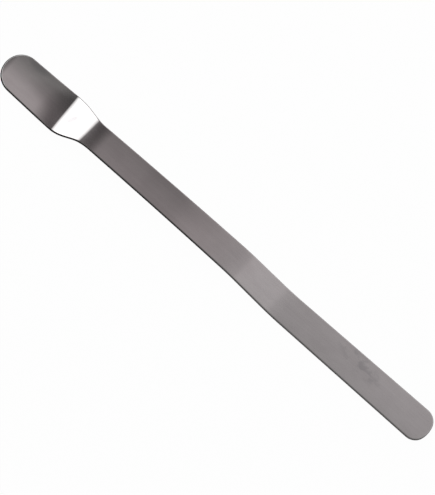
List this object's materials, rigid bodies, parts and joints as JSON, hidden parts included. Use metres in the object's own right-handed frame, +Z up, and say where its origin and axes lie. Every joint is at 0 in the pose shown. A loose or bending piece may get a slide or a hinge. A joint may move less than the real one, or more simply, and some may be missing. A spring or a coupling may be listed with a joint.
{
  "type": "lab spatula",
  "caption": "Flat steel lab spatula with a wide rounded dished head, a short crank up to a slim tapering handle and a gentle step down to a rounded flat blade.",
  "frame": {"origin": "middle of the bounding box's underside, on the table that the head and the blade lie on", "axes": "+X along the length from the wide head to the flat blade, +Z up from the table, +Y across the width"},
  "size_m": [0.15, 0.0126, 0.0037],
  "materials": {
    "steel": "satin brushed stainless sheet, tumbled rim"
  },
  "bodies": {
    "root": {"spatula": "steel"}
  },
  "joints": []
}
